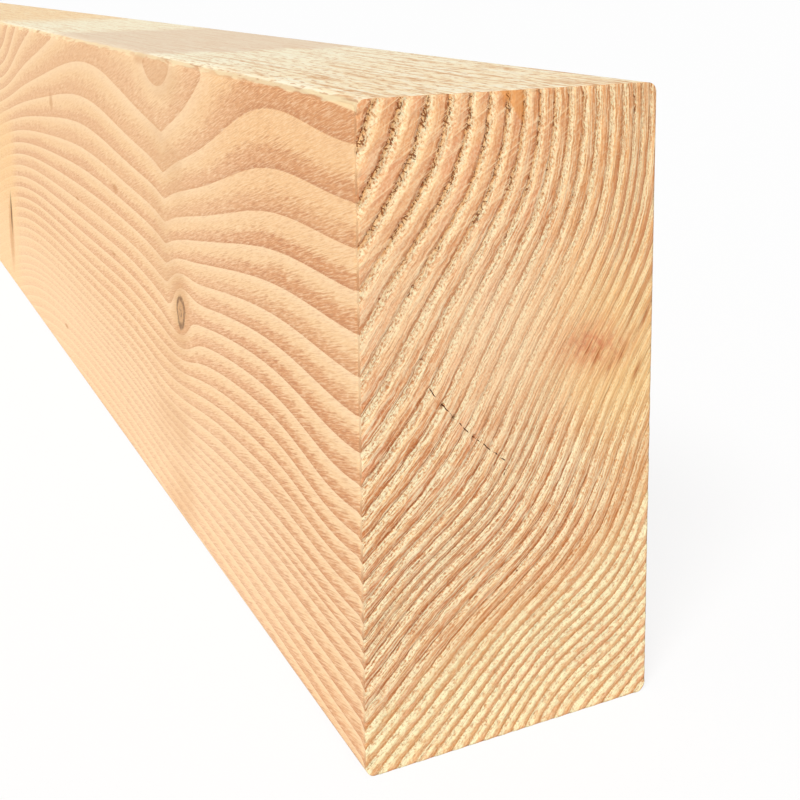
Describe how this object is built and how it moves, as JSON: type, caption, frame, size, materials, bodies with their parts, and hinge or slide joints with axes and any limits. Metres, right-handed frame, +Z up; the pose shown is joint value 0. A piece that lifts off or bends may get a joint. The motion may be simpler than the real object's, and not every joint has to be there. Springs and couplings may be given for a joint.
{
  "type": "timber beam",
  "caption": "Straight softwood beam of oblong section with planed sides, eased long arrises and square-sawn ends, one with a short drying check. Carries load in framing.",
  "frame": {"origin": "middle of the underside, the narrow face that the beam stands on", "axes": "+X along the beam towards the end with the drying check, +Y across its width, +Z up its depth"},
  "size_m": [2.4, 0.1, 0.2],
  "materials": {
    "timber": "bare planed softwood with sawn end grain"
  },
  "bodies": {
    "root": {"beam": "timber"}
  },
  "joints": []
}
